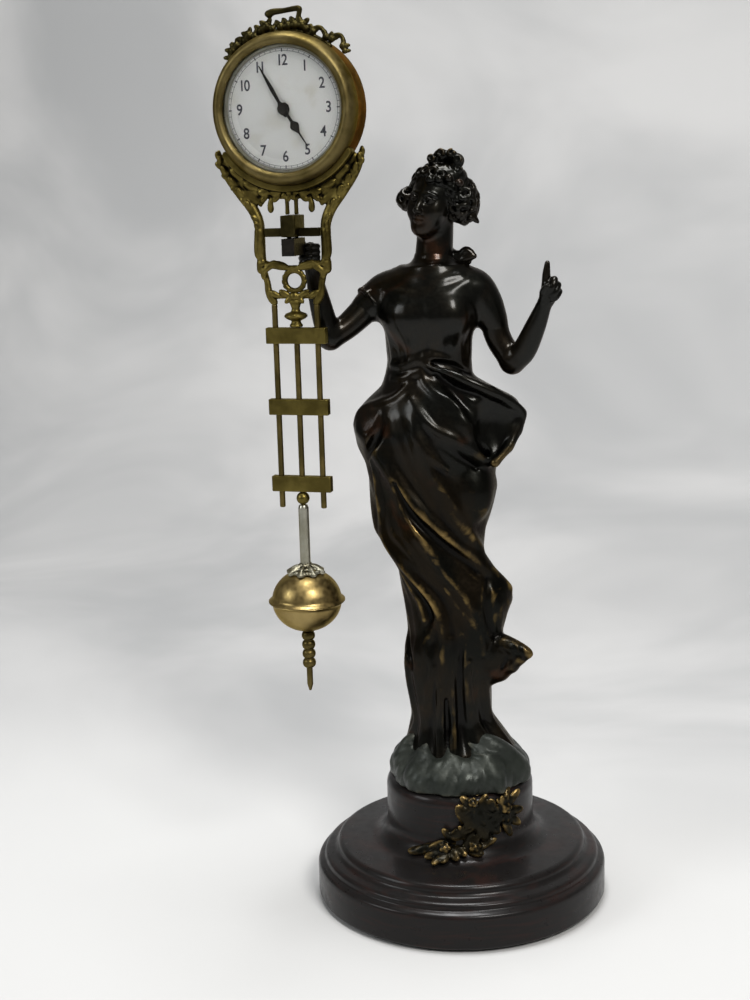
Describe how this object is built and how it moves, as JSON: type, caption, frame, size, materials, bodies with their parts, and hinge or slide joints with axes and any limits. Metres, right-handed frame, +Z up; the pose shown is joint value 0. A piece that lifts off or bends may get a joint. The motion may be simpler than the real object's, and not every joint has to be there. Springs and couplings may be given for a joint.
{
  "type": "swing clock",
  "caption": "Figural swing clock: a draped bronze lady on a turned wooden base carries a round clock whose lyre, gridiron and weighted bob swing below her hand as one pendulum.",
  "frame": {"origin": "centre of the base's underside, on the floor", "axes": "+Z up, -Y the way the dial faces, +X to the viewer's right; the clock swings in the XZ plane"},
  "size_m": [0.1617, 0.1348, 0.4002],
  "materials": {
    "lacquer": "satin lacquer",
    "felt": "matte",
    "bronze": "dark patina, rubbed on the edges",
    "steel": "satin",
    "black_steel": "blackened",
    "brass": "aged satin",
    "dark_brass": "dark patina",
    "enamel": "satin enamel",
    "crystal": "clear"
  },
  "bodies": {
    "stand": {"felt_pad": "felt", "wooden_base": "lacquer", "fixing_stud": "steel", "fixing_washer": "steel", "fixing_nut": "steel", "rock_mound": "bronze", "figure_body": "bronze", "figure_head": "bronze", "right_arm": "bronze", "left_arm": "bronze", "hand_bracket": "black_steel"},
    "clock_pendulum": {"lyre_frame": "brass", "pivot_yoke": "dark_brass", "front_pivot_point": "steel", "rear_pivot_point": "steel", "wreath": "brass", "baluster": "brass", "upper_bar": "brass", "middle_bar": "brass", "lower_bar": "brass", "left_rod": "dark_brass", "center_rod": "dark_brass", "right_rod": "dark_brass", "rod_knob": "brass", "lower_rod": "steel", "crest": "dark_brass", "case_drum": "brass", "bezel": "brass", "glass": "crystal", "dial": "enamel", "back_cover": "brass", "front_plate": "brass", "rear_plate": "brass", "movement_pillar_1": "brass", "movement_pillar_2": "brass", "movement_pillar_3": "brass"},
    "minute_arbor": {"center_arbor": "steel", "minute_hand": "black_steel", "hand_nut": "black_steel", "set_knob": "brass"},
    "minute_work": {"minute_wheel": "brass"},
    "hour_work": {"hour_wheel": "brass", "hour_hand": "black_steel"},
    "spring_barrel": {"barrel": "brass", "barrel_lid": "brass", "mainspring": "black_steel"},
    "center_train": {"center_wheel": "brass"},
    "third_train": {"third_wheel": "brass"},
    "escape_train": {"escape_wheel": "brass"},
    "pallet_anchor": {"anchor": "steel"},
    "winder": {"winding_arbor": "steel", "winding_key": "brass"},
    "bob": {"bob_upper_shell": "brass", "bob_lower_shell": "brass", "bob_ballast": "dark_brass", "bob_cap": "brass"},
    "bob_nut": {"rating_nut": "dark_brass"}
  },
  "joints": [
    {"name": "clock_swing", "type": "hinge", "parent": "stand", "child": "clock_pendulum", "pos_m": [-0.0604, -0.0344, 0.3059], "axis": [0, 1, 0], "range_deg": [-6, 6]},
    {"name": "minute_spin", "type": "hinge", "parent": "clock_pendulum", "child": "minute_arbor", "pos_m": [-0.0604, -0.0344, 0.36], "axis": [0, 1, 0], "continuous": true},
    {"name": "minute_wheel_spin", "type": "hinge", "parent": "clock_pendulum", "child": "minute_work", "pos_m": [-0.0688, -0.0344, 0.36], "axis": [0, 1, 0], "continuous": true},
    {"name": "hour_spin", "type": "hinge", "parent": "clock_pendulum", "child": "hour_work", "pos_m": [-0.0604, -0.0344, 0.36], "axis": [0, 1, 0], "continuous": true},
    {"name": "third_spin", "type": "hinge", "parent": "clock_pendulum", "child": "third_train", "pos_m": [-0.0604, -0.0344, 0.37364], "axis": [0, 1, 0], "continuous": true},
    {"name": "center_wheel_spin", "type": "hinge", "parent": "clock_pendulum", "child": "center_train", "pos_m": [-0.0604, -0.0344, 0.36], "axis": [0, 1, 0], "continuous": true},
    {"name": "barrel_spin", "type": "hinge", "parent": "clock_pendulum", "child": "spring_barrel", "pos_m": [-0.0604, -0.0344, 0.34572], "axis": [0, 1, 0], "continuous": true},
    {"name": "escape_spin", "type": "hinge", "parent": "clock_pendulum", "child": "escape_train", "pos_m": [-0.0495, -0.0344, 0.36968], "axis": [0, 1, 0], "continuous": true},
    {"name": "anchor_rock", "type": "hinge", "parent": "clock_pendulum", "child": "pallet_anchor", "pos_m": [-0.04631, -0.0344, 0.36091], "axis": [0, 1, 0], "range_deg": [-3, 3]},
    {"name": "winder_turn", "type": "hinge", "parent": "clock_pendulum", "child": "winder", "pos_m": [-0.0604, -0.0344, 0.34572], "axis": [0, 1, 0], "continuous": true},
    {"name": "bob_slide", "type": "slide", "parent": "clock_pendulum", "child": "bob", "axis": [0, 0, 1], "range_m": [-0.003, 0.003]},
    {"name": "nut_spin", "type": "hinge", "parent": "bob", "child": "bob_nut", "pos_m": [-0.0604, -0.0344, 0.1248], "axis": [0, 0, 1], "range_deg": [-721, 721]}
  ],
  "couplings": [
    {"joint": "minute_wheel_spin", "follows": "minute_spin", "ratio": -0.33333},
    {"joint": "hour_spin", "follows": "minute_spin", "ratio": 0.083333},
    {"joint": "center_wheel_spin", "follows": "third_spin", "ratio": -0.125},
    {"joint": "barrel_spin", "follows": "third_spin", "ratio": 0.025},
    {"joint": "escape_spin", "follows": "third_spin", "ratio": -8},
    {"joint": "nut_spin", "follows": "bob_slide", "rad_per_m": 4188.8}
  ]
}
